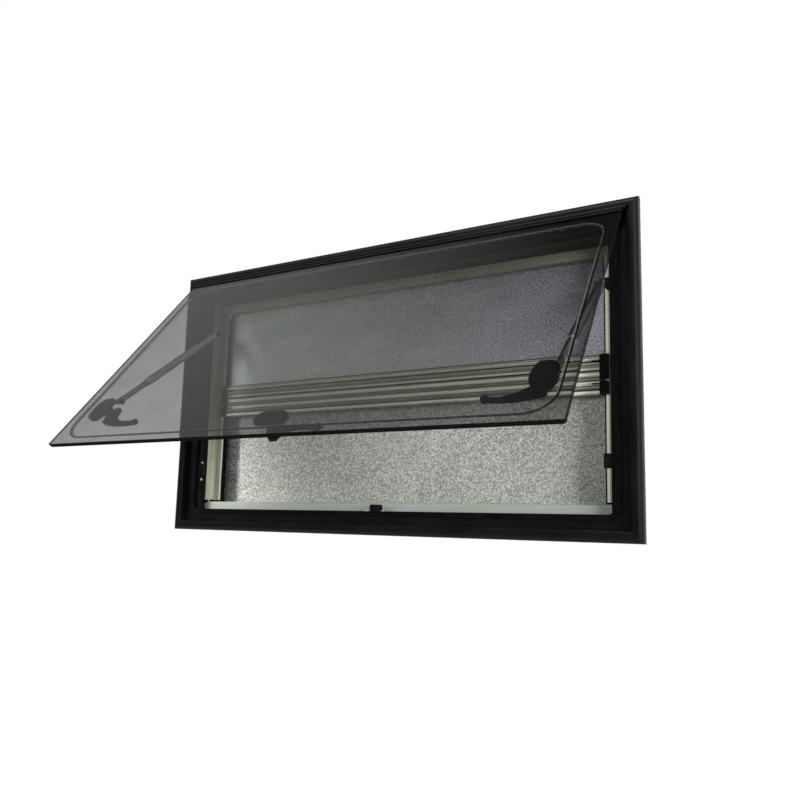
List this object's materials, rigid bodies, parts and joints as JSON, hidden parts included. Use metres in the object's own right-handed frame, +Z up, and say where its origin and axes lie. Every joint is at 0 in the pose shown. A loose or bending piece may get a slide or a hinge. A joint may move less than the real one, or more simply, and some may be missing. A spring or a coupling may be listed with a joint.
{
  "type": "caravan window",
  "caption": "Top-hung caravan window held open on telescopic stays, with turn latches, a roller blind and a flyscreen.",
  "frame": {"origin": "back face of the outer flange, in the plane of the wall skin, at the middle of the bottom rail", "axes": "+X along the wall, +Y from the outside into the room, +Z up"},
  "size_m": [0.95, 0.4084, 0.54],
  "materials": {
    "black_frame": "satin",
    "seal_rubber": "matte",
    "smoked_acrylic": "gloss",
    "black_plastic": "matte",
    "stay_metal": "satin",
    "cream_plastic": "satin",
    "pale_plastic": "satin",
    "bar_metal": "satin",
    "screen_mesh": "matte",
    "blind_cloth": "matte"
  },
  "bodies": {
    "frame": {"frame_top_rail": "black_frame", "frame_bottom_rail": "black_frame", "frame_left_jamb": "black_frame", "frame_right_jamb": "black_frame", "sash_seal": "seal_rubber", "keeper_left": "black_plastic", "keeper_right": "black_plastic", "keeper_centre": "black_plastic", "stay_bracket_left": "black_plastic", "stay_bracket_right": "black_plastic", "screen_glider_left": "black_plastic", "screen_glider_right": "black_plastic", "blind_glider_left": "black_plastic", "blind_glider_right": "black_plastic", "channel_left": "black_plastic", "channel_right": "black_plastic", "inner_top_cassette": "cream_plastic", "inner_bottom_cassette": "cream_plastic", "inner_left_jamb": "cream_plastic", "inner_right_jamb": "cream_plastic", "sill_bar": "pale_plastic", "screen_pull_bar": "bar_metal", "blind_pull_bar": "bar_metal", "screen_roller": "bar_metal", "blind_roller": "bar_metal", "flyscreen": "screen_mesh", "blind_fabric": "blind_cloth"},
    "sash": {"outer_pane": "smoked_acrylic", "inner_pane": "smoked_acrylic", "sash_hinge_profile": "black_frame", "latch_base_left": "black_plastic", "latch_base_right": "black_plastic", "latch_base_centre": "black_plastic"},
    "left_lever": {"lever_left": "black_plastic"},
    "right_lever": {"lever_right": "black_plastic"},
    "centre_lever": {"lever_centre": "black_plastic"},
    "left_stay_tube": {"stay_tube_left": "stay_metal"},
    "right_stay_tube": {"stay_tube_right": "stay_metal"},
    "left_stay_rod": {"stay_rod_left": "stay_metal"},
    "right_stay_rod": {"stay_rod_right": "stay_metal"}
  },
  "joints": [
    {"name": "sash_hinge", "type": "hinge", "parent": "frame", "child": "sash", "pos_m": [0, -0.02, 0.5085], "axis": [-1, 0, 0], "range_deg": [-39.8, 10]},
    {"name": "left_stay_pivot", "type": "hinge", "parent": "frame", "child": "left_stay_tube", "pos_m": [-0.411, 0.01, 0.3995], "axis": [-1, 0, 0], "range_deg": [-51.92, 13.05]},
    {"name": "right_stay_pivot", "type": "hinge", "parent": "frame", "child": "right_stay_tube", "pos_m": [0.411, 0.01, 0.3995], "axis": [-1, 0, 0], "range_deg": [-51.92, 13.05]},
    {"name": "left_stay_slide", "type": "slide", "parent": "left_stay_tube", "child": "left_stay_rod", "axis": [0, -0.7895, -0.6138], "range_m": [-0.05137, 0.01291]},
    {"name": "right_stay_slide", "type": "slide", "parent": "right_stay_tube", "child": "right_stay_rod", "axis": [0, -0.7895, -0.6138], "range_m": [-0.05137, 0.01291]},
    {"name": "left_lever_turn", "type": "hinge", "parent": "sash", "child": "left_lever", "pos_m": [-0.398, -0.249, 0.18607], "axis": [0, -0.7683, 0.6401], "range_deg": [0, 90]},
    {"name": "right_lever_turn", "type": "hinge", "parent": "sash", "child": "right_lever", "pos_m": [0.398, -0.249, 0.18607], "axis": [0, 0.7683, -0.6401], "range_deg": [0, 90]},
    {"name": "centre_lever_turn", "type": "hinge", "parent": "sash", "child": "centre_lever", "pos_m": [0.004, -0.2851, 0.14274], "axis": [0, -0.7683, 0.6401], "range_deg": [0, 90]}
  ],
  "couplings": [
    {"joint": "left_stay_pivot", "follows": "sash_hinge", "ratio": 1.3042},
    {"joint": "left_stay_slide", "follows": "sash_hinge", "m_per_rad": 0.073933},
    {"joint": "right_stay_pivot", "follows": "sash_hinge", "ratio": 1.3042},
    {"joint": "right_stay_slide", "follows": "sash_hinge", "m_per_rad": 0.073933}
  ]
}
